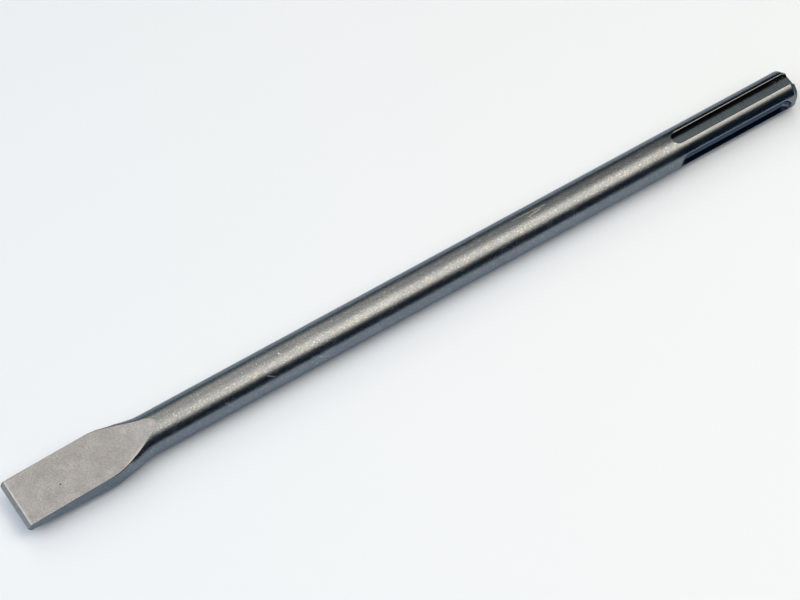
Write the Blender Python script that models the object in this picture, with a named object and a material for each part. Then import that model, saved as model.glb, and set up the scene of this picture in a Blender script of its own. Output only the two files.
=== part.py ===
"""Flat chisel with an 18 mm slotted drive shank, forged from one bar of tool steel.

The chisel lies along X: cutting edge at -X, struck end at +X.
A round blank flows into a broad blade, and two hollow faces are pressed into it from above and below.
Three open drive slots and two closed locking grooves are then milled into the shank.
All stations are distances from the cutting edge, and lengths are in metres.
"""

import math

import bmesh
import bpy
from mathutils import Matrix

MM = 0.001

# Bar
TOTAL_LENGTH = 400 * MM
BAR_RADIUS = 9 * MM
BAR_SIDES = 64
# The lowest side is broader than the others, so that the bar lies still on it
REST_SIDE_WIDTH = 1.8 * MM

# Blade, seen from above
EDGE_WIDTH = 23.6 * MM
BLADE_WIDTH_AT_SHOULDER = 23.0 * MM
CORNER_RADIUS = 0.9 * MM
BLADE_LENGTH = 48.7 * MM
SHOULDER_LENGTH = 15.3 * MM
SIDE_ROUNDING_START = 43.0 * MM
SIDE_ROUNDING_LENGTH = 14.0 * MM
SHOULDER_STEP = 1.0 * MM

# Blade, seen from the side
EDGE_LAND = 0.3 * MM
BEVEL_LENGTH = 1.5 * MM
TIP_THICKNESS = 4.2 * MM
SHOULDER_THICKNESS = 10.6 * MM
FACE_RUN_OUT = 19.0 * MM
FACE_RUN_OUT_POWER = 1.4
FACE_STEPS = 18

# Shank end
END_CHAMFER_LENGTH = 2.7 * MM
END_CHAMFER_DEPTH = 2.0 * MM
SLOT_END_STEPS = 10

# Open slots that turn the chisel: the broad one is over the blade's upper face
DRIVE_SLOT_LENGTH = 66.0 * MM
DRIVE_SLOT_WIDTH = 5.9 * MM
DRIVE_SLOT_FLOOR_HEIGHT = 5.1 * MM

# The pair of narrower open slots underneath, each turned this far from the lowest line
SIDE_SLOT_WIDTH = 4.5 * MM
SIDE_SLOT_FLOOR_HEIGHT = 6.8 * MM
SIDE_SLOT_TURN = math.radians(35)

# Closed round-bottomed grooves, one on each side, that the holder's locking rollers slide in
LOCK_GROOVE_LENGTH = 62.0 * MM
LOCK_GROOVE_SETBACK = 4.5 * MM
LOCK_GROOVE_RADIUS = 5.0 * MM
LOCK_GROOVE_CENTRE_HEIGHT = 10.2 * MM
LOCK_GROOVE_SIDES = 32

# How far a cutter reaches past the metal
CUTTER_REACH = 3.0 * MM

# The lowest side of the bar touches Z = 0
REST_HALF_ANGLE = math.asin(REST_SIDE_WIDTH / 2 / BAR_RADIUS)
AXIS_HEIGHT = BAR_RADIUS * math.cos(REST_HALF_ANGLE)
EDGE_X = -TOTAL_LENGTH / 2
END_X = TOTAL_LENGTH / 2


def clear_scene():
    for old in list(bpy.data.objects):
        bpy.data.objects.remove(old, do_unlink=True)


def ease(share):
    """Smooth step from 0 to 1, level at both ends."""
    share = min(max(share, 0.0), 1.0)
    return share * share * (3 - 2 * share)


def corner_cut(station):
    """How much the rounded tip corner takes off the half width at a station."""
    if station >= CORNER_RADIUS:
        return 0.0
    reach = CORNER_RADIUS - station
    return CORNER_RADIUS - math.sqrt(CORNER_RADIUS ** 2 - reach ** 2)


def half_width(station):
    """Half the plan width of the blank: a slight taper, then an S-shaped shoulder down to the bar."""
    tip = EDGE_WIDTH / 2
    shoulder = BLADE_WIDTH_AT_SHOULDER / 2
    if station < BLADE_LENGTH:
        return tip + (shoulder - tip) * station / BLADE_LENGTH - corner_cut(station)
    return shoulder + (BAR_RADIUS - shoulder) * ease((station - BLADE_LENGTH) / SHOULDER_LENGTH)


def side_roundness(station):
    """0 where the sides are flat, 1 where they are the bar's own half circles."""
    return ease((station - SIDE_ROUNDING_START) / SIDE_ROUNDING_LENGTH)


def face_height(station):
    """Height of the blade's upper face over the axis: bevel, straight taper, then a curved run-out."""
    slope = (SHOULDER_THICKNESS - TIP_THICKNESS) / 2 / BLADE_LENGTH
    if station < BEVEL_LENGTH:
        bevel_top = TIP_THICKNESS / 2 + slope * BEVEL_LENGTH
        return EDGE_LAND / 2 + (bevel_top - EDGE_LAND / 2) * max(station, 0.0) / BEVEL_LENGTH
    height = TIP_THICKNESS / 2 + slope * station
    if station > BLADE_LENGTH:
        left = BAR_RADIUS - TIP_THICKNESS / 2 - slope * (BLADE_LENGTH + FACE_RUN_OUT)
        height += left * ((station - BLADE_LENGTH) / FACE_RUN_OUT) ** FACE_RUN_OUT_POWER
    return height


def spread(start, stop, steps):
    """Evenly spaced values from start to stop, both included."""
    return [start + (stop - start) * step / steps for step in range(steps + 1)]


def new_object(name, mesh_data):
    """Turn a bmesh into a linked object with its faces pointing outwards."""
    bmesh.ops.recalc_face_normals(mesh_data, faces=mesh_data.faces)
    mesh = bpy.data.meshes.new(name)
    mesh_data.to_mesh(mesh)
    mesh_data.free()
    made = bpy.data.objects.new(name, mesh)
    bpy.context.scene.collection.objects.link(made)
    return made


def loft(rings):
    """Join rings of equal length into a closed bmesh, with a flat face on the first and last ring."""
    body = bmesh.new()
    rows = [[body.verts.new(point) for point in ring] for ring in rings]
    for row, following in zip(rows, rows[1:]):
        for index in range(len(row)):
            after = (index + 1) % len(row)
            body.faces.new((row[index], row[after], following[after], following[index]))
    body.faces.new(rows[0])
    body.faces.new(rows[-1])
    return body


def blank_ring(station, radius, width, roundness):
    """One cross-section of the blank: straight sides that bow into half circles as roundness grows."""
    ring = []
    start = REST_HALF_ANGLE - math.pi / 2
    step = 2 * (math.pi - REST_HALF_ANGLE) / (BAR_SIDES - 1)
    for index in range(BAR_SIDES):
        angle = start + index * step
        side = math.copysign(1.0, math.cos(angle))
        bow = radius * (1 - abs(math.cos(angle))) * roundness
        height = AXIS_HEIGHT + radius * math.sin(angle)
        ring.append((EDGE_X + station, side * (width - bow), height))
    return ring


def make_blank():
    """The bar with its broad blade end still as thick as the bar."""
    stations = spread(0, CORNER_RADIUS, 4)
    shoulder_end = BLADE_LENGTH + SHOULDER_LENGTH
    steps = math.ceil((shoulder_end - SIDE_ROUNDING_START) / SHOULDER_STEP)
    stations += spread(SIDE_ROUNDING_START, shoulder_end, steps)
    rings = [blank_ring(at, BAR_RADIUS, half_width(at), side_roundness(at)) for at in stations]
    chamfer_start = TOTAL_LENGTH - END_CHAMFER_LENGTH
    rings.append(blank_ring(chamfer_start, BAR_RADIUS, BAR_RADIUS, 1))
    end_radius = BAR_RADIUS - END_CHAMFER_DEPTH
    rings.append(blank_ring(TOTAL_LENGTH, end_radius, end_radius, 1))
    return new_object("flat_chisel", loft(rings))


def face_cutter(name, side):
    """A block whose inner surface is the blade's upper (side 1) or lower (side -1) face."""
    stations = [-CUTTER_REACH, 0.0] + spread(BEVEL_LENGTH, BLADE_LENGTH, 1)
    run_out_end = BLADE_LENGTH + FACE_RUN_OUT + CUTTER_REACH
    stations += spread(BLADE_LENGTH, run_out_end, FACE_STEPS)[1:]
    reach = EDGE_WIDTH / 2 + CUTTER_REACH
    top = BAR_RADIUS + 2 * CUTTER_REACH
    rings = []
    for station in stations:
        x = EDGE_X + station
        low = AXIS_HEIGHT + side * face_height(station)
        high = AXIS_HEIGHT + side * top
        rings.append([(x, -reach, low), (x, reach, low), (x, reach, high), (x, -reach, high)])
    return new_object(name, loft(rings))


def slot_cutter(name, stations, turn):
    """A cutter for one slot of the shank, from (station, half width, floor height) rows.

    A first row of no width is the far end of a rounded slot.
    """
    top = BAR_RADIUS + CUTTER_REACH
    rings = []
    for station, reach, floor in stations:
        x = EDGE_X + station
        rings.append([(x, -reach, floor), (x, reach, floor), (x, reach, top), (x, -reach, top)])
    return turned_cutter(name, rings, turn)


def turned_cutter(name, rings, turn):
    """Loft rings that are modelled over the top of the bar, and turn the cutter about the bar's axis."""
    body = loft(rings)
    bmesh.ops.remove_doubles(body, verts=body.verts, dist=1e-7)
    bmesh.ops.dissolve_degenerate(body, edges=body.edges, dist=1e-7)
    made = new_object(name, body)
    made.data.transform(Matrix.Translation((0, 0, AXIS_HEIGHT)) @ Matrix.Rotation(turn, 4, "X"))
    return made


def round_end(start, width, floor):
    """Rows for the half round end that an end mill leaves, starting at its far point."""
    radius = width / 2
    rows = []
    for angle in spread(0, math.pi / 2, SLOT_END_STEPS):
        rows.append((start + radius * (1 - math.cos(angle)), radius * math.sin(angle), floor))
    return rows


def open_slot(name, width, floor, turn):
    rows = round_end(TOTAL_LENGTH - DRIVE_SLOT_LENGTH, width, floor)
    rows.append((TOTAL_LENGTH + CUTTER_REACH, width / 2, floor))
    return slot_cutter(name, rows, turn)


def closed_groove(name, turn):
    """A ball-nosed cutter's path: a round bar with ball ends, whose axis runs just outside the bar."""
    stop = TOTAL_LENGTH - LOCK_GROOVE_SETBACK
    start = stop - LOCK_GROOVE_LENGTH
    steps = spread(0, math.pi / 2, SLOT_END_STEPS)
    inner_end = [(start + LOCK_GROOVE_RADIUS * (1 - math.cos(angle)), angle) for angle in steps]
    outer_end = [(stop - LOCK_GROOVE_RADIUS * (1 - math.cos(angle)), angle) for angle in reversed(steps)]
    rings = []
    for station, angle in inner_end + outer_end:
        reach = LOCK_GROOVE_RADIUS * math.sin(angle)
        ring = []
        for side in range(LOCK_GROOVE_SIDES):
            turned = 2 * math.pi * side / LOCK_GROOVE_SIDES
            height = LOCK_GROOVE_CENTRE_HEIGHT + reach * math.sin(turned)
            ring.append((EDGE_X + station, reach * math.cos(turned), height))
        rings.append(ring)
    return turned_cutter(name, rings, turn)


def cut(body, cutter):
    """Take the cutter out of the body and keep the cutter as a hidden guide."""
    cutter.hide_render = True
    cutter.display_type = "WIRE"
    modifier = body.modifiers.new(cutter.name, "BOOLEAN")
    modifier.operation = "DIFFERENCE"
    modifier.solver = "EXACT"
    modifier.object = cutter


def tool_steel():
    material = bpy.data.materials.new("tool_steel")
    material.use_nodes = True
    shader = material.node_tree.nodes["Principled BSDF"]
    shader.inputs["Base Color"].default_value = (0.33, 0.34, 0.35, 1)
    shader.inputs["Metallic"].default_value = 1.0
    shader.inputs["Roughness"].default_value = 0.4
    return material


def main():
    clear_scene()
    chisel = make_blank()
    chisel.data.materials.append(tool_steel())
    cut(chisel, face_cutter("upper_face_cutter", 1))
    cut(chisel, face_cutter("lower_face_cutter", -1))
    cut(chisel, open_slot("drive_slot_cutter", DRIVE_SLOT_WIDTH, DRIVE_SLOT_FLOOR_HEIGHT, 0))
    for side, name in ((1, "right"), (-1, "left")):
        turn = side * (math.pi - SIDE_SLOT_TURN)
        cut(chisel, open_slot(f"{name}_side_slot_cutter", SIDE_SLOT_WIDTH, SIDE_SLOT_FLOOR_HEIGHT, turn))
        cut(chisel, closed_groove(f"{name}_lock_groove_cutter", side * math.pi / 2))
    chisel.data.shade_smooth()
    chisel.data.set_sharp_from_angle(angle=math.radians(25))


main()
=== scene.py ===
"""Looks of the flat chisel: a fine surface of the forged bar, its steel finishes, and a studio.

The chisel lies along X with its cutting edge at -X. A station is a distance from the cutting edge.
Lengths are in metres, unless a name ends in _MM.
"""

import math

import bpy
import numpy as np
from mathutils import Matrix, Vector


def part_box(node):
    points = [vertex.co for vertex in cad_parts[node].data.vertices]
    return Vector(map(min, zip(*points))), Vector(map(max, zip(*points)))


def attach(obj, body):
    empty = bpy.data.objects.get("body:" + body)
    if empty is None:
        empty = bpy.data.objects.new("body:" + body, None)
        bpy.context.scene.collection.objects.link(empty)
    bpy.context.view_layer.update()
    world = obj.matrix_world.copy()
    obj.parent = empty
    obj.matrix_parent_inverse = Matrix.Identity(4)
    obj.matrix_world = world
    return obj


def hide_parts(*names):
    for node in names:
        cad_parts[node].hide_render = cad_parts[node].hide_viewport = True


MM = 0.001

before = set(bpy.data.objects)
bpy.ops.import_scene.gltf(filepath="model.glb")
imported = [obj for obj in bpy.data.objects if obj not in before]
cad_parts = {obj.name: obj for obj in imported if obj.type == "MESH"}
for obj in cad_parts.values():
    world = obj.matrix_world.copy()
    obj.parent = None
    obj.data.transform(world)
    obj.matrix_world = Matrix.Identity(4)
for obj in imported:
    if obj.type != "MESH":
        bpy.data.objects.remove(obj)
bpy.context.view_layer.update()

# Overall sizes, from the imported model
LOW_CORNER, HIGH_CORNER = (np.array(corner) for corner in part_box("flat_chisel"))
EDGE_X = LOW_CORNER[0]
TOTAL_LENGTH = HIGH_CORNER[0] - LOW_CORNER[0]
EDGE_WIDTH = HIGH_CORNER[1] - LOW_CORNER[1]

# Bar, whose underside lies on a narrow flat at Z = 0
BAR_RADIUS = 9 * MM
REST_FLAT_WIDTH = 1.8 * MM
AXIS_HEIGHT = math.sqrt(BAR_RADIUS ** 2 - (REST_FLAT_WIDTH / 2) ** 2)

# Blade, seen from above
BLADE_WIDTH_AT_SHOULDER = 23.0 * MM
CORNER_RADIUS = 0.9 * MM
BLADE_LENGTH = 48.7 * MM
SHOULDER_LENGTH = 15.3 * MM
SIDE_ROUNDING_START = 41.0 * MM
SIDE_ROUNDING_LENGTH = 11.5 * MM
NECK_BOW = 0.22

# Blade, seen from the side
EDGE_LAND = 0.3 * MM
BEVEL_LENGTH = 1.5 * MM
BEVEL_CORNER_REACH = 0.25 * MM
TIP_THICKNESS = 4.2 * MM
SHOULDER_THICKNESS = 10.6 * MM
FACE_RUN_OUT = 19.0 * MM
FACE_RUN_OUT_POWER = 1.4
FACE_CORNER_REACH = 0.2 * MM
SHOULDER_CORNER_REACH = 0.5 * MM

# Shank
END_CHAMFER_LENGTH = 2.7 * MM
END_CHAMFER_DEPTH = 2.0 * MM
END_CORNER_REACH = 0.35 * MM
DRIVE_SLOT_LENGTH = 66.0 * MM
DRIVE_SLOT_WIDTH = 5.9 * MM
DRIVE_SLOT_FLOOR = 5.1 * MM
SIDE_SLOT_WIDTH = 4.5 * MM
SIDE_SLOT_FLOOR = 6.8 * MM
SIDE_SLOT_ANGLE = math.radians(-55)
LOCK_GROOVE_LENGTH = 62.0 * MM
LOCK_GROOVE_SETBACK = 4.5 * MM
LOCK_GROOVE_RADIUS = 5.0 * MM
LOCK_GROOVE_CENTRE = 10.2 * MM
LOCK_GROOVE_RIM_ROUNDING = 0.6 * MM
SLOT_RIM_ROUNDING = 0.5 * MM
SLOT_FLOOR_ROUNDING = 0.3 * MM

# Places along the shank
SLOT_START = TOTAL_LENGTH - DRIVE_SLOT_LENGTH
LOCK_GROOVE_STOP = TOTAL_LENGTH - LOCK_GROOVE_SETBACK
END_CHAMFER_START = TOTAL_LENGTH - END_CHAMFER_LENGTH

# Shares of finish, wear and painted crease shadow, from 0 for none to 1 for full
SLOT_RIM_WEAR = 0.35
GROOVE_RIM_WEAR = 0.12
END_WEAR = 0.12
BEVEL_FINISH = 0.9
BEVEL_WEAR = 0.5
BLADE_EDGE_WEAR = 0.08
SHOULDER_WEAR = 0.42
PAINTED_CREASE_SHADOW = 0.8

# Painted shade on a slot's floor, at each point from the middle of the floor to the foot of the wall: it
# darkens the floor towards the wall
PAINTED_SHADE_ON_SLOT_FLOOR = (0, 0, 0, 0, 0.15, 0.95, 1)

# Stretches of the blade in millimetres from the cutting edge: where a change sets in and the length that
# it takes, then where it fades and the length that this takes
NECK_BOW_STRETCH_MM = (44, 8, 56, 10)
SOFT_EDGE_STRETCH_MM = (38, 10, 58, 9)
SHOULDER_WEAR_STRETCH_MM = (45, 4, 56, 6)
# The last stretch is where the painted shadow in the blade's crease lies
CREASE_SHADOW_STRETCH_MM = (38, 3, 46, 4)

# Stations closer together than this become one
SMALLEST_GAP = 0.004 * MM

# Two faces that meet at less than this angle are shaded as one
SHARP_ANGLE = math.radians(32)

# How many surface points each stretch of a half cross-section gets
CORNER_POINTS = 6
GROOVE_POINTS = 18
UPPER_SIDE_POINTS = 26
LOWER_SIDE_POINTS = 16
UNDERSIDE_POINTS = 14
SLOT_FOOT_POINTS = 4
SLOT_WALL_POINTS = 3

# Shares of the way round the blade's long edge: from the face to its middle, and on to the side
EDGE_FIRST_HALF = np.linspace(0, 0.5, CORNER_POINTS)[None, :]
EDGE_SECOND_HALF = np.linspace(0.5, 1, CORNER_POINTS)[None, 1:]


def ease(share):
    """Smooth step: 3t^2 - 2t^3 of the share t, held between 0 and 1."""
    share = np.clip(share, 0.0, 1.0)
    return share * share * (3 - 2 * share)


def within(station, stretch_mm):
    """1 inside a stretch of the blade and 0 outside it: an ease up, times one minus a later ease."""
    start, rise, end, fall = (length * MM for length in stretch_mm)
    return ease((station - start) / rise) * (1 - ease((station - end) / fall))


def rounded_corner(along, corner, reach, before, after):
    """Heights of a line that bends at a corner, rounded within reach of it.

    Before the corner the height is before(x) and after it after(x). Within reach, a parabola takes over:
    (1-t)^2 of the first tangent point, 2t(1-t) of the corner and t^2 of the last tangent point.
    """
    share = np.clip((along - corner + reach) / (2 * reach), 0, 1)
    start = before(corner - reach)
    stop = after(corner + reach)
    bent = (1 - share) ** 2 * start + 2 * share * (1 - share) * before(corner) + share ** 2 * stop
    straight = np.where(along < corner, before(along), after(along))
    return np.where(np.abs(along - corner) < reach, bent, straight)


def blade_half_width(station):
    """Half the plan width: a slight straight taper with round tip corners, then an S curve to the bar."""
    tip = EDGE_WIDTH / 2
    shoulder = BLADE_WIDTH_AT_SHOULDER / 2
    taper = tip + (shoulder - tip) * station / BLADE_LENGTH
    inward = np.clip(CORNER_RADIUS - station, 0, None)
    taper -= CORNER_RADIUS - np.sqrt(CORNER_RADIUS ** 2 - inward ** 2)
    narrowing = shoulder + (BAR_RADIUS - shoulder) * ease((station - BLADE_LENGTH) / SHOULDER_LENGTH)
    return np.where(station < BLADE_LENGTH, taper, narrowing)


def face_height(station):
    """Height of the pressed face over the axis: round nose, bevel, straight taper, curved run-out."""
    slope = (SHOULDER_THICKNESS - TIP_THICKNESS) / 2 / BLADE_LENGTH
    land = EDGE_LAND / 2

    def taper(at):
        return TIP_THICKNESS / 2 + slope * at

    def bevel(at):
        return land + (taper(BEVEL_LENGTH) - land) * at / BEVEL_LENGTH

    height = rounded_corner(station, BEVEL_LENGTH, BEVEL_CORNER_REACH, bevel, taper)
    nose = np.sqrt(np.clip(1 - (1 - np.clip(station / land, 0, 1)) ** 2, 0, 1))
    past = np.clip((station - BLADE_LENGTH) / FACE_RUN_OUT, 0, None)
    left = BAR_RADIUS - taper(BLADE_LENGTH + FACE_RUN_OUT)
    return height * nose + left * past ** FACE_RUN_OUT_POWER


def bar_radius(station):
    """Radius of the round bar, with the struck end's chamfer and its two softened corners."""
    slope = END_CHAMFER_DEPTH / END_CHAMFER_LENGTH

    def bar(at):
        return BAR_RADIUS + 0 * at

    def chamfer(at):
        return BAR_RADIUS - slope * (at - END_CHAMFER_START)

    radius = rounded_corner(station, END_CHAMFER_START, END_CORNER_REACH, bar, chamfer)
    to_end = np.clip(1 - (TOTAL_LENGTH - station) / END_CORNER_REACH, 0, 1)
    return radius - END_CORNER_REACH * (1 - np.sqrt(1 - to_end ** 2))


def slot_section(station, width, start, floor):
    """Half the cross-section of a milled slot: sideways and outward distances, rows by station.

    The slot is a round-ended strip. Its surface depends only on the distance past the strip's wall line:
    flat floor, quarter-round foot, upright wall, then a quarter-round lip that meets the bar.
    The strip's half width is the smaller of the cutter's radius and where the bar is as high as the floor.
    Also returned are three masks: of the milled surface, of the painted shade on its wall, its foot and the
    floor's edge next to them, and of the worn lip.
    """
    radius = bar_radius(station)
    floor = np.minimum(floor + 0 * station, radius)
    reach = np.minimum(width / 2, np.sqrt(np.clip(radius ** 2 - floor ** 2, 0, None)))
    lead = np.clip(start + width / 2 - station, 0, None)
    wall_top = np.sqrt(radius ** 2 - reach ** 2)
    room = np.clip((wall_top - floor) / (SLOT_RIM_ROUNDING + SLOT_FLOOR_ROUNDING), 0, 1)
    foot = np.maximum(SLOT_FLOOR_ROUNDING * room, 1e-9)
    lip = np.maximum(SLOT_RIM_ROUNDING * room, 1e-9)

    foot_turn = np.linspace(0, math.pi / 2, SLOT_FOOT_POINTS + 1)[None, 1:]
    lip_turn = np.linspace(0, math.pi / 2, CORNER_POINTS + 1)[None, 1:]
    flat_levels = -reach + (reach - foot) * np.linspace(0, 1, len(PAINTED_SHADE_ON_SLOT_FLOOR))[None, :]
    foot_levels = -foot * (1 - np.sin(foot_turn))
    wall_levels = np.zeros((1, SLOT_WALL_POINTS)) * reach
    lip_levels = lip * (1 - np.cos(lip_turn))
    levels = np.concatenate([flat_levels, foot_levels, wall_levels, lip_levels], axis=1)
    climb = np.concatenate([
        np.zeros(len(PAINTED_SHADE_ON_SLOT_FLOOR) + SLOT_FOOT_POINTS),
        np.arange(1, SLOT_WALL_POINTS + 1) / SLOT_WALL_POINTS,
        np.ones(CORNER_POINTS),
    ])[None, :]

    sideways = np.sqrt(np.clip(np.clip(reach + levels, 0, None) ** 2 - lead ** 2, 0, None))
    past_wall = np.sqrt(sideways ** 2 + lead ** 2) - reach
    surface = np.sqrt(np.clip(radius ** 2 - sideways ** 2, 0, None))
    into_lip = np.clip(past_wall, 0, lip)
    drop = lip - np.sqrt(lip ** 2 - (lip - into_lip) ** 2)
    into_foot = np.clip(past_wall + foot, 0, foot)
    rise = foot - np.sqrt(foot ** 2 - into_foot ** 2)
    bottom = floor + rise
    upright = bottom + (surface - drop - bottom) * climb
    outward = np.where(past_wall > 1e-9, surface - drop, upright)
    outward = np.where(floor >= radius, radius, outward)

    # The milled finish fades over the first 0.4 of the lip, and the wear sets in over the first 0.3
    depth = np.clip((radius - floor) / SLOT_RIM_ROUNDING, 0, 1)
    over_lip = past_wall / SLOT_RIM_ROUNDING
    milled = depth * np.clip(1 - over_lip / 0.4, 0, 1)
    # Painted shade: graded over the floor's edge, full on the foot and the wall, none on the lip
    painted_shade = depth * np.concatenate([
        PAINTED_SHADE_ON_SLOT_FLOOR, np.ones(SLOT_FOOT_POINTS + SLOT_WALL_POINTS), np.zeros(CORNER_POINTS),
    ])[None, :]
    worn = SLOT_RIM_WEAR * depth * np.clip(over_lip / 0.3, 0, 1) * np.clip(2.5 - over_lip, 0, 1)
    return sideways, outward, milled, painted_shade, worn


def groove_section(station):
    """Half the cross-section of the locking groove: sideways and outward distances, rows by station.

    A round-nosed cutter's path: a circle whose centre is outside the bar. Its rim is rounded by an arc
    that touches the circle and the bar from inside the metal. Along the groove's middle line the same
    circle and arc meet the bar's surface, and how deep that line is gives each station's circle.
    The masks are as in slot_section.
    """
    rim = LOCK_GROOVE_RIM_ROUNDING
    centre = LOCK_GROOVE_CENTRE
    stop = LOCK_GROOVE_STOP - LOCK_GROOVE_RADIUS
    start = LOCK_GROOVE_STOP - LOCK_GROOVE_LENGTH + LOCK_GROOVE_RADIUS
    past = np.maximum(np.maximum(start - station, station - stop), 0)
    arc_at = math.sqrt((LOCK_GROOVE_RADIUS + rim) ** 2 - (centre - BAR_RADIUS + rim) ** 2)
    touch_at = arc_at * LOCK_GROOVE_RADIUS / (LOCK_GROOVE_RADIUS + rim)
    in_ball = centre - np.sqrt(LOCK_GROOVE_RADIUS ** 2 - np.minimum(past, touch_at) ** 2)
    in_arc = BAR_RADIUS - rim + np.sqrt(rim ** 2 - np.clip(arc_at - past, 0, arc_at - touch_at) ** 2)
    middle = np.where(past < touch_at, in_ball, np.where(past < arc_at, in_arc, BAR_RADIUS))
    circle = centre - middle

    arc_out = ((BAR_RADIUS - rim) ** 2 + centre ** 2 - (circle + rim) ** 2) / (2 * centre)
    arc_side = np.sqrt(np.clip((BAR_RADIUS - rim) ** 2 - arc_out ** 2, 0, None))
    touch_angle = np.arctan2(arc_side, centre - arc_out)
    bar_angle = np.arctan2(arc_side, arc_out)
    angle = touch_angle * np.linspace(0, 1, GROOVE_POINTS)[None, :]
    sideways = circle * np.sin(angle)
    outward = centre - circle * np.cos(angle)
    # Round the rim the normal turns from the circle's to the bar's
    shares = np.linspace(0, 1, CORNER_POINTS + 1)[None, 1:]
    normal = -touch_angle + (touch_angle + bar_angle) * shares
    sideways = np.concatenate([sideways, arc_side + rim * np.sin(normal)], axis=1)
    outward = np.concatenate([outward, arc_out + rim * np.cos(normal)], axis=1)

    # The milled finish fades over the first part of the rim, which is most worn in its middle
    depth = np.clip((BAR_RADIUS - middle) / rim, 0, 1)
    fading = np.clip(1 - 1.6 * shares, 0, 1)
    milled = depth * np.concatenate([1 + 0 * angle, fading + 0 * station], axis=1)
    worn = depth * np.concatenate([0 * angle, 4 * shares * (1 - shares) + 0 * station], axis=1)
    return sideways, outward, milled, 0 * sideways, GROOVE_RIM_WEAR * worn


def side_curve(station, angle):
    """Point of the blank's side at an angle: out w - r(1-cos)b and up r sin.

    w is the half width, r the bar's radius, and b how far the side has bowed from flat to round. At the
    neck b passes 1, where the press squeezed the corner.
    """
    radius = bar_radius(station)
    roundness = ease((station - SIDE_ROUNDING_START) / SIDE_ROUNDING_LENGTH)
    roundness = roundness * (1 + NECK_BOW * within(station, NECK_BOW_STRETCH_MM))
    on_bar = station > BLADE_LENGTH + SHOULDER_LENGTH
    width = np.where(on_bar, radius, blade_half_width(station))
    return width - radius * (1 - np.cos(angle)) * roundness, radius * np.sin(angle)


def turned_slot(section, centre):
    """Both halves of a slot or groove, turned so that its outward direction is at the centre angle."""
    both = [np.concatenate([part[:, ::-1], part[:, 1:]], axis=1) for part in section]
    sideways, outward = both[:2]
    sideways[:, sideways.shape[1] // 2:] *= -1
    out = outward * np.cos(centre) - sideways * np.sin(centre)
    up = outward * np.sin(centre) + sideways * np.cos(centre)
    return out, up, both[2:]


def blade_edge(share, inner_out, corner, below):
    """Rounded long edge of the blade: a parabola from the face at share 0 to the side at share 1.

    At share t the point is (1-t)^2 of the face's last point, 2t(1-t) of the sharp corner and t^2 of the
    side's first point. The face's last point is as high as the corner.
    """
    corner_out, corner_up = corner
    below_out, below_up = below
    out = (1 - share) ** 2 * inner_out + 2 * share * (1 - share) * corner_out + share ** 2 * below_out
    return out, (1 - share ** 2) * corner_up + share ** 2 * below_up


def blade_masks(station, on_blade, flat_points):
    """Finish of the blade's upper half, as four masks.

    The first two, pressed and worn, cover the face: its flat points and the first half of the rounded
    edge. The last two, a painted shadow in the crease under the edge near the neck and worn, cover the
    edge's second half.
    """
    past_bevel = station > BEVEL_LENGTH
    in_face = on_blade * np.where(past_bevel, 1.0, BEVEL_FINISH)
    pressed = in_face * np.concatenate([np.ones((1, flat_points)), 1 - 2 * EDGE_FIRST_HALF], axis=1)

    edge_wear = on_blade * (BLADE_EDGE_WEAR + SHOULDER_WEAR * within(station, SHOULDER_WEAR_STRETCH_MM))
    bevel_wear = np.clip(1.6 - np.abs(station - BEVEL_LENGTH) / BEVEL_CORNER_REACH, 0, 1)
    bevel_wear = np.maximum(bevel_wear, np.where(past_bevel, 0, BEVEL_WEAR))
    rise = np.linspace(0.3, 1, CORNER_POINTS)[None, :]
    face_worn = np.concatenate([
        bevel_wear * np.ones((1, flat_points)), np.maximum(edge_wear * rise, bevel_wear),
    ], axis=1)

    # This scale is painted shadow: a dark line in the crease where the edge folds under near the neck
    scale = PAINTED_CREASE_SHADOW * on_blade * within(station, CREASE_SHADOW_STRETCH_MM)
    fall = np.linspace(0.6, 0, CORNER_POINTS)[None, 1:]
    return pressed, face_worn, scale, edge_wear * fall


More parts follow.
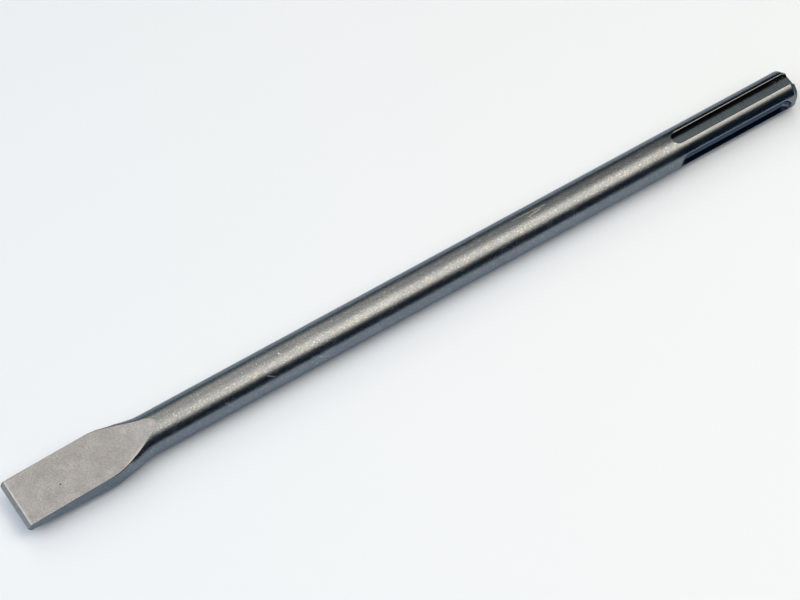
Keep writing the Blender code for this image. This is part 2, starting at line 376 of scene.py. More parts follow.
def half_section(station):
    """The right half of each cross-section, from the top centre line round to the bottom centre line.

    It is laid out in stretches that every station shares: upper face or drive slot, upper edge, upper
    side, locking groove, lower side, side slot, underside, lower edge, lower face. Stretches that a
    station lacks shrink to a point. Returned are the two coordinates and the masks by name, each as a
    (stations, points) array.
    """
    station = station[:, None]
    radius = bar_radius(station)
    face = face_height(station)
    on_blade = face < BAR_RADIUS
    crease_angle = np.where(on_blade, np.arcsin(np.clip(face / BAR_RADIUS, 0, 1)), math.pi / 2)
    softened = within(station, SOFT_EDGE_STRETCH_MM)
    corner_reach = FACE_CORNER_REACH + (SHOULDER_CORNER_REACH - FACE_CORNER_REACH) * softened
    corner_turn = corner_reach / BAR_RADIUS

    def arc(start, stop, shares):
        """Points of the side between two angles."""
        return side_curve(station, start + (stop - start) * shares)

    # Upper face: even points and the first half of the rounded edge, or half the drive slot
    drive_slot = slot_section(station, DRIVE_SLOT_WIDTH, SLOT_START, DRIVE_SLOT_FLOOR)
    flat_points = drive_slot[0].shape[1] - CORNER_POINTS
    corner = side_curve(station, crease_angle)
    below = side_curve(station, np.maximum(crease_angle - corner_turn, 0))
    inner_out = np.clip(corner[0] - corner_reach, 0, None)
    flat_share = np.linspace(0, 1, flat_points + 1)[None, :-1]
    edge_out, edge_up = blade_edge(EDGE_FIRST_HALF, inner_out, corner, below)
    face_out = np.concatenate([inner_out * flat_share, edge_out], axis=1)
    face_up = np.concatenate([corner[1] + 0 * flat_share, edge_up], axis=1)
    top_out = np.where(on_blade, face_out, drive_slot[0])
    top_up = np.where(on_blade, face_up, drive_slot[1])

    # Locking groove on the right, and the slot below it
    before_shank = station < SLOT_START - DRIVE_SLOT_WIDTH
    no_groove = before_shank | (station > LOCK_GROOVE_STOP + LOCK_GROOVE_RIM_ROUNDING)
    groove = groove_section(station)
    groove_out, groove_up, groove_masks = turned_slot(groove, 0 * station)
    plain_out, plain_up = side_curve(station, 0 * station)
    groove_out = np.where(no_groove, plain_out, groove_out)
    groove_up = np.where(no_groove, plain_up, groove_up)

    side_slot = slot_section(station, SIDE_SLOT_WIDTH, SLOT_START, SIDE_SLOT_FLOOR)
    side_slot_centre = crease_angle * SIDE_SLOT_ANGLE / (math.pi / 2)
    side_slot_out, side_slot_up, side_slot_masks = turned_slot(side_slot, side_slot_centre)
    plain_out, plain_up = side_curve(station, side_slot_centre)
    side_slot_out = np.where(before_shank, plain_out, side_slot_out)
    side_slot_up = np.where(before_shank, plain_up, side_slot_up)

    drive_slot_half, groove_half, side_slot_half = (
        np.arcsin(np.clip(section[0][:, -1:] / radius, 0, 1)) for section in (drive_slot, groove, side_slot)
    )

    # Upper side: second half of the rounded edge, then even angles down to the groove
    start_angle = np.where(on_blade, crease_angle, math.pi / 2 - drive_slot_half)
    first_turn = np.minimum(corner_turn, start_angle)
    edge_out, edge_up = blade_edge(EDGE_SECOND_HALF, inner_out, corner, below)
    round_out, round_up = arc(start_angle, start_angle - first_turn, 2 * EDGE_SECOND_HALF - 1)
    bend_out = np.where(on_blade, edge_out, round_out)
    bend_up = np.where(on_blade, edge_up, round_up)
    shares = np.linspace(0, 1, UPPER_SIDE_POINTS + 1)[None, 1:-1]
    upper_out, upper_up = arc(start_angle - first_turn, groove_half, shares)

    # Lower side and underside, down to the lower corner
    shares = np.linspace(0, 1, LOWER_SIDE_POINTS + 1)[None, 1:-1]
    lower_out, lower_up = arc(-groove_half, side_slot_centre + side_slot_half, shares)
    shares = np.linspace(0, 1, UNDERSIDE_POINTS + 1)[None, 1:]
    last_turn = np.minimum(corner_turn, crease_angle)
    under_out, under_up = arc(side_slot_centre - side_slot_half, last_turn - crease_angle, shares)

    def corner_back(on_face, on_side):
        """The rounded edge's points in the lower corner's order."""
        return np.concatenate([on_face[:, -CORNER_POINTS:], on_side[:, :-1]], axis=1)[:, ::-1]

    def face_back(on_face):
        """The face's flat points in the lower face's order."""
        return on_face[:, :-CORNER_POINTS][:, ::-1]

    # Lower corner and lower face mirror the upper ones
    low_corner_out, low_corner_up = corner_back(face_out, bend_out), corner_back(face_up, bend_up)
    shares = np.linspace(0, 1, low_corner_out.shape[1])[None, :]
    round_out, round_up = arc(last_turn - crease_angle, -crease_angle, shares)
    low_corner_out = np.where(on_blade, low_corner_out, round_out)
    low_corner_up = np.where(on_blade, -low_corner_up, round_up)
    low_face_out = np.where(on_blade, face_back(face_out), 0)
    low_face_up = np.where(on_blade, -face_back(face_up), -radius)

    # Masks: pressed faces up to the middle of their edges, milled slots, painted shade on slot walls and in
    # the blade's crease, and worn edges and lips
    face_pressed, face_worn, crease_shadow, edge_worn = blade_masks(station, on_blade, flat_points)
    slot_milled, slot_wall, slot_worn = (np.where(on_blade, 0, mask) for mask in drive_slot[2:])
    stretches = [
        (top_out, top_up, face_pressed, slot_milled, slot_wall, np.where(on_blade, face_worn, slot_worn)),
        # The bend's painted crease shadow is given as both its milled mask and its shade mask, so that the
        # near-black painted shade shows there
        (bend_out, bend_up, 0, crease_shadow, crease_shadow, edge_worn),
        (upper_out, upper_up, 0, 0, 0, 0),
        (groove_out, groove_up, 0, *groove_masks),
        (lower_out, lower_up, 0, 0, 0, 0),
        (side_slot_out, side_slot_up, 0, *side_slot_masks),
        (under_out, under_up, 0, 0, 0, 0),
        (low_corner_out, low_corner_up, 0, 0, 0, corner_back(face_worn, edge_worn)),
        (low_face_out, low_face_up, face_back(face_pressed), 0, 0, face_back(face_worn)),
    ]
    out, up, pressed, milled, painted_shade, worn = (
        np.concatenate([stretch[part] + 0 * stretch[0] for stretch in stretches], axis=1)
        for part in range(6)
    )
    to_corner = np.minimum(np.abs(station - END_CHAMFER_START), TOTAL_LENGTH - station)
    end_wear = END_WEAR * np.clip(1.8 - to_corner / END_CORNER_REACH, 0, 1)
    worn = np.maximum(worn, end_wear * (1 - milled))
    return out, up, {"pressed": pressed, "milled": milled, "painted_shade": painted_shade, "worn": worn}


def end_stations(start, width, steps):
    """Stations of a slot's round end: close together where its outline turns across the bar."""
    radius = width / 2
    lip_turns = np.linspace(0, math.acos(radius / (radius + SLOT_RIM_ROUNDING)), 5)
    wall_turns = np.linspace(0, math.pi / 2, steps)
    past_wall = start + radius - (radius + SLOT_RIM_ROUNDING) * np.cos(lip_turns)
    return np.concatenate([past_wall, start + radius - radius * np.cos(wall_turns)])


def make_stations():
    """Every station of the surface, closest together at edges, corners and slot ends."""
    turn = np.linspace(0, math.pi / 2, 9)
    nose = EDGE_LAND / 2 * (1 - np.cos(turn))
    tip_corner = CORNER_RADIUS * (1 - np.cos(turn))
    bevel = BEVEL_LENGTH + BEVEL_CORNER_REACH * np.linspace(-1, 1, 7)
    blade = np.linspace(BEVEL_LENGTH + BEVEL_CORNER_REACH, SIDE_ROUNDING_START, 40)
    run_out_end = BLADE_LENGTH + FACE_RUN_OUT
    shoulder = np.linspace(SIDE_ROUNDING_START, run_out_end - 2 * MM, 60)
    neck = np.linspace(run_out_end - 2 * MM, run_out_end + 0.1 * MM, 22)
    bar = np.arange(run_out_end + 1 * MM, SLOT_START - 2 * MM, 6 * MM)
    drive_end = end_stations(SLOT_START, DRIVE_SLOT_WIDTH, 13)
    side_end = end_stations(SLOT_START, SIDE_SLOT_WIDTH, 13)
    groove_reach = LOCK_GROOVE_RADIUS + LOCK_GROOVE_RIM_ROUNDING
    groove_round = LOCK_GROOVE_RADIUS - groove_reach * np.sin(np.linspace(0, math.pi / 2, 22))
    groove_start = LOCK_GROOVE_STOP - LOCK_GROOVE_LENGTH + groove_round
    groove_stop = LOCK_GROOVE_STOP - groove_round
    shank = np.arange(SLOT_START + 5 * MM, LOCK_GROOVE_STOP - 6 * MM, 6 * MM)
    chamfer = END_CHAMFER_START + END_CORNER_REACH * np.linspace(-2, 1, 10)
    end_slope = np.linspace(END_CHAMFER_START + END_CORNER_REACH, TOTAL_LENGTH - END_CORNER_REACH, 8)
    end_corner = TOTAL_LENGTH - END_CORNER_REACH * (1 - np.sin(turn))
    everything = np.concatenate([
        nose, tip_corner, bevel, blade, shoulder, neck, bar, drive_end, side_end, groove_start, groove_stop,
        shank, chamfer, end_slope, end_corner,
    ])
    everything = np.unique(np.round(everything, 8))
    gap = np.diff(everything, prepend=-1)
    return everything[gap > SMALLEST_GAP]


def closed_mesh(name, grid, masks):
    """A closed mesh from a grid of points that wraps round: equal points become one, and folded faces go.

    grid is (stations, points round, 3), and its last row is closed by one flat face. masks holds the
    surface's attributes by name, each with a value for every grid point. The largest value counts where
    points become one.
    """
    rows, around = grid.shape[:2]
    flat = np.round(grid.reshape(-1, 3), 8)
    points, number = np.unique(flat, axis=0, return_inverse=True)
    number = number.reshape(-1)
    values = {}
    for mask_name, mask in masks.items():
        values[mask_name] = np.zeros(len(points), np.float32)
        np.maximum.at(values[mask_name], number, mask.reshape(-1).astype(np.float32))
    number = number.reshape(rows, around)
    after = np.roll(number, -1, axis=1)
    quads = np.stack([number[:-1], number[1:], after[1:], after[:-1]], axis=-1).reshape(-1, 4)
    faces = [tuple(dict.fromkeys(quad)) for quad in quads.tolist()]
    faces = [face for face in faces if len(face) > 2]
    faces.append(tuple(dict.fromkeys(number[-1, ::-1].tolist())))
    seen = {}
    for face in faces:
        key = frozenset(face)
        seen[key] = seen.get(key, 0) + 1
    faces = [face for face in faces if seen[frozenset(face)] == 1]
    mesh = bpy.data.meshes.new(name)
    mesh.from_pydata(points, [], faces)
    for mask_name, mask in values.items():
        mesh.attributes.new(mask_name, "FLOAT", "POINT").data.foreach_set("value", mask)
    return mesh


def make_chisel():
    """The whole chisel as one surface: stations along X, and half cross-sections mirrored across it."""
    station = make_stations()
    half_out, half_up, half_masks = half_section(station)

    def whole(half):
        return np.concatenate([half, half[:, -2:0:-1]], axis=1)

    out, up = whole(half_out), whole(half_up)
    out[:, half_out.shape[1]:] *= -1
    x = np.broadcast_to((EDGE_X + station)[:, None], out.shape)
    grid = np.stack([x, out, np.maximum(AXIS_HEIGHT + up, 0)], axis=-1)
    masks = {name: whole(mask) for name, mask in half_masks.items()}
    # The struck end's flat face is plain, so its row of points carries no mask
    for mask in masks.values():
        mask[-1] = 0
    mesh = closed_mesh("forged_chisel", grid, masks)
    piece = bpy.data.objects.new("forged_chisel", mesh)
    bpy.context.scene.collection.objects.link(piece)
    mesh.shade_smooth()
    mesh.set_sharp_from_angle(angle=SHARP_ANGLE)
    # The last face is the flat struck end
    mesh.polygons[len(mesh.polygons) - 1].use_smooth = False
    return piece


# Finishes. Patterns are in millimetres, so that a scale is a number of features per millimetre.

BAR_STEEL = (0.188, 0.218, 0.256)
BAR_STEEL_DARK = (0.155, 0.183, 0.22)
BAR_STEEL_WARM = (0.218, 0.22, 0.228)
BAR_STEEL_SHADE = (0.132, 0.16, 0.19)
BAR_STEEL_LIGHT = (0.34, 0.332, 0.315)
GROUND_STEEL = (0.15, 0.172, 0.2)
PRESSED_STEEL = (0.36, 0.375, 0.40)
PRESSED_STEEL_DARK = (0.31, 0.33, 0.36)
PRESSED_STEEL_SHADE = (0.25, 0.268, 0.295)
PRESSED_STEEL_PINK = (0.366, 0.354, 0.377)
SLOT_STEEL = (0.125, 0.168, 0.215)
SLOT_STEEL_DARK = (0.103, 0.14, 0.182)
# Painted shade: near black, blended over slot walls, their feet and the crease under the blade's edge
PAINTED_SHADE_COLOUR = (0.006, 0.007, 0.009)
GROOVE_STEEL = (0.042, 0.062, 0.095)
END_SCALE = (0.028, 0.033, 0.042)
SCUFFED_STEEL = (0.33, 0.36, 0.40)
WORN_STEEL = (0.40, 0.42, 0.44)
MARK_STEEL = (0.55, 0.57, 0.6)
PIT_STEEL = (0.07, 0.07, 0.07)
GRAZING_TINT = (0.6, 0.66, 0.73)

# Bright nicks on the upper side: distance along X, distance round the bar, radius
NICKS_MM = [
    (-72.2, -0.1, 0.62), (-82.9, 0.5, 0.42), (-90.2, 0.1, 0.4), (-76.4, 0.5, 0.28), (-72.1, -4.3, 0.35),
]

# Scratches: both ends, each as a distance along X and a distance round the bar, then half the width
SCRATCHES_MM = [
    ((-88.0, -4.2), (-82.6, -3.1), 0.22),
    ((-81.0, -6.3), (-78.0, -8.1), 0.16),
    ((-57.1, -2.4), (-54.2, -4.3), 0.18),
    ((-60.1, -8.8), (-57.5, -9.5), 0.14),
    ((-57.5, -9.5), (-54.9, -11.4), 0.17),
    ((-54.9, -11.4), (-49.1, -13.3), 0.14),
    ((-102.2, -8.0), (-99.4, -11.9), 0.12),
    ((49.2, 2.8), (66.5, 1.9), 0.25),
    ((56.0, 0.4), (63.5, 1.3), 0.2),
]

# Pit in the pressed face: its centre along X and Y, and its radius
PRESSED_PIT_MM = ((-179.2, -2.3), 0.42)

# Where the rolled skin of the bar gives way to the ground shank, and where the struck end gets scuffed
GROUND_SHANK_MM = (126.0, 140.0)
GROUND_SHARE = 0.5
SCUFFED_END_MM = (189.0, 193.0)
END_SCALE_SHARE = 0.95

# Milled surfaces are the drive slot above these heights over the axis, and side slots or grooves below
DRIVE_SLOT_HEIGHTS_MM = (5.0, 4.6)

# Roughness, where there are two from the smoothest to the roughest spots
BAR_ROUGHNESS = (0.2, 0.28)
GROUND_ROUGHNESS = (0.15, 0.21)
PRESSED_ROUGHNESS = (0.5, 0.6)
SLOT_ROUGHNESS = 0.28
GROOVE_ROUGHNESS = 0.13
WORN_ROUGHNESS = 0.28

# Heights of the relief, in millimetres
STREAK_HEIGHT = 0.025
GRIT_HEIGHT = 0.05
DENT_HEIGHT = 0.02
PRESSED_GRAIN_HEIGHT = 0.12
PRESSED_WAVE_HEIGHT = 0.15
CUTTER_LINE_HEIGHT = 0.03
MARK_DEPTH = 0.04
PIT_DEPTH = 0.15


class Finish:
    """A material's nodes. Each call adds a node and gives back what comes out of it."""

    def __init__(self, name):
        self.material = bpy.data.materials.new(name)
        self.material.use_nodes = True
        self.tree = self.material.node_tree
        self.shader = self.tree.nodes["Principled BSDF"]

    def feed(self, socket, value):
        """Links a node's output to a socket, or sets the socket to a plain value."""
        if isinstance(value, bpy.types.NodeSocket):
            self.tree.links.new(value, socket)
        elif isinstance(value, tuple) and len(value) == 3 and socket.type == "RGBA":
            socket.default_value = (*value, 1)
        else:
            socket.default_value = value

    def add(self, kind, **settings):
        node = self.tree.nodes.new(kind)
        for name, value in settings.items():
            setattr(node, name, value)
        return node

    def math(self, operation, *values, clamp=False):
        node = self.add("ShaderNodeMath", operation=operation, use_clamp=clamp)
        for socket, value in zip(node.inputs, values):
            self.feed(socket, value)
        return node.outputs[0]

    def vector(self, operation, *values, output=0):
        node = self.add("ShaderNodeVectorMath", operation=operation)
        for socket, value in zip(node.inputs, values):
            self.feed(socket, value)
        return node.outputs[output]

    def point(self, x, y):
        node = self.add("ShaderNodeCombineXYZ")
        for socket, value in zip(node.inputs, (x, y)):
            self.feed(socket, value)
        return node.outputs[0]

    def parts(self, vector):
        node = self.add("ShaderNodeSeparateXYZ")
        self.feed(node.inputs[0], vector)
        return node.outputs

    def step(self, value, start, stop, low=0.0, high=1.0):
        """Goes smoothly from low to high while the value goes from start to stop."""
        node = self.add("ShaderNodeMapRange", interpolation_type="SMOOTHSTEP")
        for socket, number in zip(node.inputs, (value, start, stop, low, high)):
            self.feed(socket, number)
        return node.outputs[0]

    def noise(self, vector, scale, detail=2.0, roughness=0.5):
        node = self.add("ShaderNodeTexNoise")
        self.feed(node.inputs["Vector"], vector)
        self.feed(node.inputs["Scale"], scale)
        self.feed(node.inputs["Detail"], detail)
        self.feed(node.inputs["Roughness"], roughness)
        return node.outputs["Fac"]

    def blend(self, share, first, second):
        """Mixes two colours."""
        node = self.add("ShaderNodeMix", data_type="RGBA")
        self.feed(node.inputs[0], share)
        self.feed(node.inputs[6], first)
        self.feed(node.inputs[7], second)
        return node.outputs[2]

    def between(self, share, first, second):
        """Mixes two numbers."""
        node = self.add("ShaderNodeMix", data_type="FLOAT")
        self.feed(node.inputs[0], share)
        self.feed(node.inputs[2], first)
        self.feed(node.inputs[3], second)
        return node.outputs[0]

    def drawn_out(self, place, share):
        """The place with its X times a share, which draws a pattern out along the bar."""
        return self.vector("MULTIPLY", place, (share, 1.0, 1.0))

    def attribute(self, name):
        return self.add("ShaderNodeAttribute", attribute_name=name).outputs["Fac"]

    def relief(self, height):
        """Turns a height in millimetres into a normal."""
        node = self.add("ShaderNodeBump")
        node.inputs["Strength"].default_value = 1.0
        node.inputs["Distance"].default_value = MM
        self.feed(node.inputs["Height"], height)
        return node.outputs[0]


def near_point(finish, place, centre, radius):
    """1 inside a spot on the unrolled bar, 0 outside: a smooth step of the distance to its centre."""
    distance = finish.vector("DISTANCE", place, (*centre, 0.0), output=1)
    return finish.step(distance, radius * 1.25, radius * 0.5)


def near_line(finish, place, start, stop, half_width):
    """1 along a stroke on the unrolled bar: a smooth step of the distance to the nearest point of it.

    The nearest point is start + t (stop - start), with t the place's share along the stroke, held in
    0 to 1. The stroke thins towards its ends: its half width is multiplied by 0.4 + 2.4 t (1 - t).
    """
    run = (stop[0] - start[0], stop[1] - start[1], 0.0)
    length_squared = run[0] ** 2 + run[1] ** 2
    offset = finish.vector("SUBTRACT", place, (*start, 0.0))
    projected = finish.vector("DOT_PRODUCT", offset, run, output=1)
    along = finish.math("DIVIDE", projected, length_squared, clamp=True)
    scaled = finish.add("ShaderNodeVectorMath", operation="SCALE")
    finish.feed(scaled.inputs[0], run)
    finish.feed(scaled.inputs["Scale"], along)
    distance = finish.vector("DISTANCE", offset, scaled.outputs[0], output=1)
    taper = finish.math("MULTIPLY", along, finish.math("SUBTRACT", 1.0, along))
    taper = finish.math("MULTIPLY_ADD", taper, 2.4, 0.4)
    shape = finish.math("DIVIDE", distance, taper)
    return finish.step(shape, half_width * 1.4, half_width * 0.3)


def rolled_bar_colour(finish, place):
    """Rolled bar: broad clouds drawn out along it, small blotches, a warm temper tint and grain."""
    clouds = finish.noise(finish.drawn_out(place, 0.35), 0.09, detail=3.0, roughness=0.6)
    blotches = finish.noise(finish.drawn_out(place, 0.6), 0.55, detail=3.0, roughness=0.65)
    tint = finish.noise(finish.vector("ADD", place, (37.0, 11.0, 5.0)), 0.22, detail=2.0)
    grain = finish.noise(finish.drawn_out(place, 0.8), 1.5, detail=3.0, roughness=0.7)
    bar = finish.blend(finish.step(clouds, 0.36, 0.64), BAR_STEEL_DARK, BAR_STEEL)
    bar = finish.blend(finish.step(blotches, 0.62, 0.35, 0.0, 0.3), bar, BAR_STEEL_DARK)
    bar = finish.blend(finish.step(tint, 0.45, 0.75, 0.0, 0.5), bar, BAR_STEEL_WARM)
    bar = finish.blend(finish.step(grain, 0.55, 0.38, 0.0, 0.7), bar, BAR_STEEL_SHADE)
    return finish.blend(finish.step(grain, 0.56, 0.7, 0.0, 0.8), bar, BAR_STEEL_LIGHT)


def pressed_face_colour(finish, place, haze, patches):
    """Pressed face: soft grey and pinkish clouds, with a fine dark grain."""
    grain = finish.noise(place, 1.3, detail=3.0, roughness=0.75)
    face = finish.blend(finish.step(haze, 0.38, 0.66), PRESSED_STEEL_DARK, PRESSED_STEEL)
    face = finish.blend(finish.step(patches, 0.5, 0.7, 0.0, 0.6), face, PRESSED_STEEL_PINK)
    return finish.blend(finish.step(grain, 0.58, 0.4, 0.0, 0.8), face, PRESSED_STEEL_SHADE)


def slot_colour(finish, cutter_lines, in_groove, painted_shade):
    """Milled slots and grooves: the cutter's lines under dark scale, then painted shade that blackens
    walls, feet and the blade's crease.
    """
    slot = finish.blend(finish.step(cutter_lines, 0.35, 0.65), SLOT_STEEL_DARK, SLOT_STEEL)
    slot = finish.blend(in_groove, slot, GROOVE_STEEL)
    return finish.blend(painted_shade, slot, PAINTED_SHADE_COLOUR)


def handling_marks(finish, place, unrolled):
    """1 on the bar's nicks and scratches, and 0 elsewhere. A little noise makes their outlines wavy."""
    wobble = finish.step(finish.noise(place, 1.1, detail=2.0), 0.3, 0.7, -0.18, 0.18)
    wavy = finish.vector("ADD", unrolled, finish.point(0.0, wobble))
    marks = [near_point(finish, wavy, (x_mm, round_mm), radius) for x_mm, round_mm, radius in NICKS_MM]
    marks += [near_line(finish, wavy, start, stop, half_width) for start, stop, half_width in SCRATCHES_MM]
    strongest = marks[0]
    for mark in marks[1:]:
        strongest = finish.math("MAXIMUM", strongest, mark)
    return strongest


def rolled_bar_relief(finish, place, x, round_bar, ground):
    """Height of the bar's skin: streaks that wind round it, grit and shallow dents, fainter where ground.

    The streaks lie on an unrolled place that is turned, with x + 0.8 r and r - 0.8 x for x and r.
    """
    helix = finish.point(
        finish.math("ADD", x, finish.math("MULTIPLY", round_bar, 0.8)),
        finish.math("SUBTRACT", round_bar, finish.math("MULTIPLY", x, 0.8)),
    )
    helix = finish.vector("MULTIPLY", helix, (0.35, 1.5, 1.0))
    streaks = finish.noise(helix, 0.9, detail=3.0, roughness=0.6)
    grit = finish.noise(place, 1.4, detail=3.0, roughness=0.7)
    dents = finish.noise(finish.drawn_out(place, 0.5), 0.35, detail=2.0)
    relief = finish.math("MULTIPLY", streaks, STREAK_HEIGHT)
    relief = finish.math("MULTIPLY_ADD", grit, GRIT_HEIGHT, relief)
    relief = finish.math("MULTIPLY_ADD", dents, DENT_HEIGHT, relief)
    return finish.math("MULTIPLY", relief, finish.step(ground, 0.0, 1.0, 1.0, 0.5))


def forged_tool_steel():
    """Steel of the whole tool: a rolled and hardened bar, pressed faces, milled slots and worn edges, with
    painted shade in slot walls and the blade's crease.
    """
    finish = Finish("forged_tool_steel")
    shader = finish.shader
    shader.inputs["Specular IOR Level"].default_value = 0.0
    shader.inputs["Specular Tint"].default_value = (*GRAZING_TINT, 1)

    coordinates = finish.add("ShaderNodeTexCoord").outputs["Object"]
    place = finish.vector("MULTIPLY", coordinates, (1000.0, 1000.0, 1000.0))
    x, y, z = finish.parts(place)
    above_axis = finish.math("SUBTRACT", z, AXIS_HEIGHT / MM)
    turn = finish.math("ARCTAN2", y, above_axis)
    round_bar = finish.math("MULTIPLY", turn, BAR_RADIUS / MM)
    on_top = finish.step(above_axis, -1.0, 0.0)
    in_groove = finish.step(above_axis, *DRIVE_SLOT_HEIGHTS_MM)
    ground = finish.step(x, *GROUND_SHANK_MM)
    pressed, milled, painted_shade, worn = map(finish.attribute, ("pressed", "milled", "painted_shade", "worn"))
    # Where shade is painted, the steel is made non-metallic, so its near-black colour reflects nothing
    finish.feed(shader.inputs["Metallic"], finish.math("SUBTRACT", 1.0, painted_shade))

    # Patterns that colour, roughness and relief share
    haze = finish.noise(place, 0.14, detail=4.0, roughness=0.6)
    patches = finish.noise(finish.vector("ADD", place, (9.0, 51.0, 3.0)), 0.2, detail=3.0, roughness=0.6)
    cutter_lines = finish.noise(finish.vector("MULTIPLY", place, (1.0, 0.12, 0.12)), 1.3, detail=2.0)
    chips = finish.noise(place, 0.9, detail=3.0, roughness=0.7)
    bare = finish.math("MULTIPLY", worn, finish.step(chips, 0.3, 0.6, 0.45, 1.0))
    marks = handling_marks(finish, place, finish.point(x, round_bar))
    marks = finish.math("MULTIPLY", marks, on_top)
    pit = finish.math("MULTIPLY", near_point(finish, finish.point(x, y), *PRESSED_PIT_MM), on_top)

    # Colour: the bar with its ground shank and scaly chamfer, then faces, slots with their painted shade,
    # scuffs, wear and marks
    chamfer_start = (TOTAL_LENGTH / 2 - END_CHAMFER_LENGTH) / MM
    end_scale = finish.step(x, chamfer_start - 0.1, chamfer_start + 0.4, 0.0, END_SCALE_SHARE)
    colour = rolled_bar_colour(finish, place)
    colour = finish.blend(finish.math("MULTIPLY", ground, GROUND_SHARE), colour, GROUND_STEEL)
    colour = finish.blend(end_scale, colour, END_SCALE)
    colour = finish.blend(pressed, colour, pressed_face_colour(finish, place, haze, patches))
    colour = finish.blend(milled, colour, slot_colour(finish, cutter_lines, in_groove, painted_shade))
    scuffed_end = finish.step(x, *SCUFFED_END_MM)
    scuffs = finish.math("MULTIPLY", scuffed_end, finish.step(chips, 0.5, 0.7, 0.0, 0.5))
    colour = finish.blend(scuffs, colour, SCUFFED_STEEL)
    colour = finish.blend(bare, colour, WORN_STEEL)
    colour = finish.blend(finish.math("MULTIPLY", marks, 0.5), colour, MARK_STEEL)
    colour = finish.blend(finish.math("MULTIPLY", pit, 0.8), colour, PIT_STEEL)
    finish.feed(shader.inputs["Base Color"], colour)

    # Roughness
    smear = finish.noise(finish.drawn_out(place, 0.3), 0.5, detail=4.0, roughness=0.7)
    rough = finish.step(smear, 0.3, 0.7, *BAR_ROUGHNESS)
    rough = finish.between(ground, rough, finish.step(smear, 0.3, 0.7, *GROUND_ROUGHNESS))
    rough = finish.between(pressed, rough, finish.step(patches, 0.35, 0.65, *PRESSED_ROUGHNESS))
    rough = finish.between(milled, rough, finish.between(in_groove, SLOT_ROUGHNESS, GROOVE_ROUGHNESS))
    rough = finish.between(bare, rough, WORN_ROUGHNESS)
    finish.feed(shader.inputs["Roughness"], rough)

    # Relief
    bar_relief = rolled_bar_relief(finish, place, x, round_bar, ground)
    face_grain = finish.noise(place, 0.9, detail=4.0, roughness=0.7)
    face_relief = finish.math("MULTIPLY", face_grain, PRESSED_GRAIN_HEIGHT)
    face_relief = finish.math("MULTIPLY_ADD", haze, PRESSED_WAVE_HEIGHT, face_relief)
    height = finish.between(pressed, bar_relief, face_relief)
    height = finish.between(milled, height, finish.math("MULTIPLY", cutter_lines, CUTTER_LINE_HEIGHT))
    height = finish.math("MULTIPLY_ADD", marks, -MARK_DEPTH, height)
    height = finish.math("MULTIPLY_ADD", pit, -PIT_DEPTH, height)
    finish.feed(shader.inputs["Normal"], finish.relief(height))
    return finish.material


# Studio

LOOK_AT = Vector((-9.71, 0.52, 5.68)) * MM
CAMERA_AZIMUTH = math.radians(-38.6)
CAMERA_ELEVATION = math.radians(59.56)
CAMERA_ROLL = math.radians(5.97)
CAMERA_DISTANCE = 1292.8 * MM
CAMERA_LENS = 135.12
FLOOR_SIZE = 30.0
FLOOR_COLOUR = (0.73, 0.83, 0.96)
FLOOR_ROUGHNESS = 0.9

# Round panels over the floor, in metres. The softbox is a stack of them, widest at the bottom.
PANEL_HEIGHT = 1.2
SOFTBOX_CENTRE = (0.56, -0.4)
SOFTBOX_RADII = (0.84, 0.67, 0.57, 0.49, 0.42)
SOFTBOX_LAYER_GAP = 0.02
SOFTBOX_LAYER_BRIGHTNESS = 0.73
SOFTBOX_COLOUR = (1.0, 0.835, 0.64)
FILL_CENTRE = (-0.9, 0.1)
FILL_RADIUS = 0.6
FILL_BRIGHTNESS = 2.1
FILL_COLOUR = (0.95, 0.97, 1.0)

# Light of the surroundings, by a direction's upward part: 0 at the horizon, 1 straight up
NEAR_BY_HEIGHT = [
    (0.0, (0.004, 0.02, 0.045)), (0.5, (0.008, 0.028, 0.05)), (0.8, (0.06, 0.07, 0.08)),
    (1.0, (0.3, 0.32, 0.34)),
]
FAR_BY_HEIGHT = [
    (0.0, (0.07, 0.11, 0.14)), (0.3, (0.14, 0.2, 0.23)), (0.5, (0.53, 0.57, 0.58)),
    (0.75, (1.46, 1.5, 1.43)), (0.9, (1.7, 1.7, 1.55)), (1.0, (0.5, 0.51, 0.5)),
]

# The same by a direction's part along X, where 0 also stands for everything towards -X. The far light is
# multiplied by the first: it peaks just right of the middle and ends further right. The second is added
# to the near light: a dim grey that leaves out a dark gap right of the middle.
FAR_BY_SIDE = [
    (0.0, (1.3, 1.1, 0.9)), (0.2, (2.7, 2.25, 1.8)), (0.3, (1.37, 1.25, 1.09)), (0.44, (0.0, 0.02, 0.03)),
]
NEAR_BY_SIDE = [
    (0.0, (0.16, 0.17, 0.18)), (0.1, (0.0, 0.0, 0.0)), (0.58, (0.0, 0.0, 0.0)), (0.72, (0.16, 0.17, 0.18)),
]
NEAR_TO_FAR = (-0.25, 0.25)


def make_camera():
    """The camera at the photograph's angle, aimed at the point in the middle of the picture."""
    data = bpy.data.cameras.new("camera")
    data.lens = CAMERA_LENS
    data.sensor_width = 36
    data.clip_start = 0.05
    camera = bpy.data.objects.new("camera", data)
    bpy.context.scene.collection.objects.link(camera)
    back = Vector((
        math.sin(CAMERA_AZIMUTH) * math.cos(CAMERA_ELEVATION),
        -math.cos(CAMERA_AZIMUTH) * math.cos(CAMERA_ELEVATION),
        math.sin(CAMERA_ELEVATION),
    ))
    facing = (-back).to_track_quat("-Z", "Y").to_matrix().to_4x4()
    camera.matrix_world = (
        Matrix.Translation(LOOK_AT + back * CAMERA_DISTANCE) @ facing @ Matrix.Rotation(CAMERA_ROLL, 4, "Z")
    )
    bpy.context.scene.camera = camera


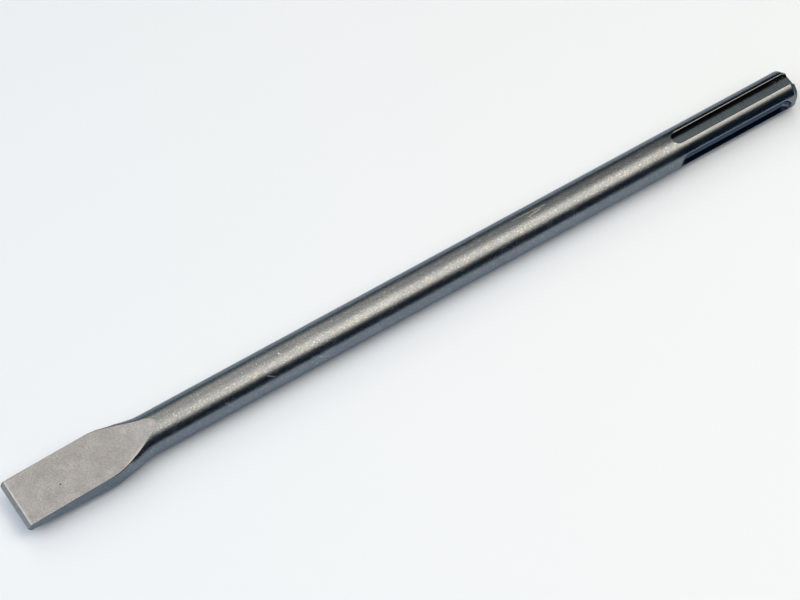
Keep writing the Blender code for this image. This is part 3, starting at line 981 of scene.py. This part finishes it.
def make_floor():
    """A wide, plain, pale floor at Z = 0."""
    mesh = bpy.data.meshes.new("floor")
    half = FLOOR_SIZE / 2
    corners = [(-half, -half, 0), (half, -half, 0), (half, half, 0), (-half, half, 0)]
    mesh.from_pydata(corners, [], [(0, 1, 2, 3)])
    floor = bpy.data.objects.new("floor", mesh)
    bpy.context.scene.collection.objects.link(floor)
    material = bpy.data.materials.new("pale_floor")
    material.use_nodes = True
    shader = material.node_tree.nodes["Principled BSDF"]
    shader.inputs["Base Color"].default_value = (*FLOOR_COLOUR, 1)
    shader.inputs["Roughness"].default_value = FLOOR_ROUGHNESS
    shader.inputs["Specular IOR Level"].default_value = 0.0
    mesh.materials.append(material)


def make_panel(centre, height, radius, brightness, colour):
    """A level, round, glowing panel that shines down on the floor.

    Its power is pi times its brightness times its area, so that a larger panel is no dimmer.
    """
    data = bpy.data.lights.new("panel", "AREA")
    data.shape = "DISK"
    data.size = 2 * radius
    data.color = colour
    data.energy = brightness * math.pi * math.pi * radius ** 2
    panel = bpy.data.objects.new("panel", data)
    panel.location = (*centre, height)
    bpy.context.scene.collection.objects.link(panel)


def make_lights():
    """A slightly warm softbox over the near right side, and a fill panel on the left.

    The softbox is a stack of panels, and each adds its light: so it is brightest in the middle.
    """
    for layer, radius in enumerate(SOFTBOX_RADII):
        height = PANEL_HEIGHT + SOFTBOX_LAYER_GAP * layer
        make_panel(SOFTBOX_CENTRE, height, radius, SOFTBOX_LAYER_BRIGHTNESS, SOFTBOX_COLOUR)
    make_panel(FILL_CENTRE, PANEL_HEIGHT, FILL_RADIUS, FILL_BRIGHTNESS, FILL_COLOUR)


def make_surroundings():
    """The studio round the object: pale above and behind, dark and bluish low down in front.

    The light of a direction is mixed from a near and a far light by the direction's part along Y. The near
    light is the sum of a ramp over height and a ramp over X, and the far light is the product of two such.
    """
    world = bpy.data.worlds.new("studio")
    bpy.context.scene.world = world
    world.use_nodes = True
    nodes, links = world.node_tree.nodes, world.node_tree.links
    direction = nodes.new("ShaderNodeSeparateXYZ")
    links.new(nodes.new("ShaderNodeTexCoord").outputs["Generated"], direction.inputs[0])

    def ramp(part, stops, interpolation):
        """Colours over one part of the direction, where anything below 0 counts as 0."""
        node = nodes.new("ShaderNodeValToRGB")
        node.color_ramp.interpolation = interpolation
        elements = node.color_ramp.elements
        while len(elements) < len(stops):
            elements.new(0.5)
        for element, (position, colour) in zip(elements, stops):
            element.position = position
            element.color = (*colour, 1)
        links.new(direction.outputs[part], node.inputs[0])
        return node.outputs["Color"]

    def combined(operation, by_height, by_side):
        """One side's light: its ramp over height and its ramp over X, added or multiplied."""
        node = nodes.new("ShaderNodeVectorMath")
        node.operation = operation
        links.new(ramp("Z", by_height, "B_SPLINE"), node.inputs[0])
        links.new(ramp("X", by_side, "LINEAR"), node.inputs[1])
        return node.outputs[0]

    sideways = nodes.new("ShaderNodeMapRange")
    sideways.interpolation_type = "SMOOTHSTEP"
    sideways.inputs["From Min"].default_value, sideways.inputs["From Max"].default_value = NEAR_TO_FAR
    links.new(direction.outputs["Y"], sideways.inputs["Value"])
    mix = nodes.new("ShaderNodeMix")
    mix.data_type = "RGBA"
    links.new(sideways.outputs[0], mix.inputs[0])
    links.new(combined("ADD", NEAR_BY_HEIGHT, NEAR_BY_SIDE), mix.inputs[6])
    links.new(combined("MULTIPLY", FAR_BY_HEIGHT, FAR_BY_SIDE), mix.inputs[7])
    links.new(mix.outputs[2], nodes["Background"].inputs["Color"])


chisel = make_chisel()
chisel.data.materials.append(forged_tool_steel())
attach(chisel, "root")
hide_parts("flat_chisel")
make_camera()
make_floor()
make_lights()
make_surroundings()
bpy.context.scene.view_settings.view_transform = "Standard"
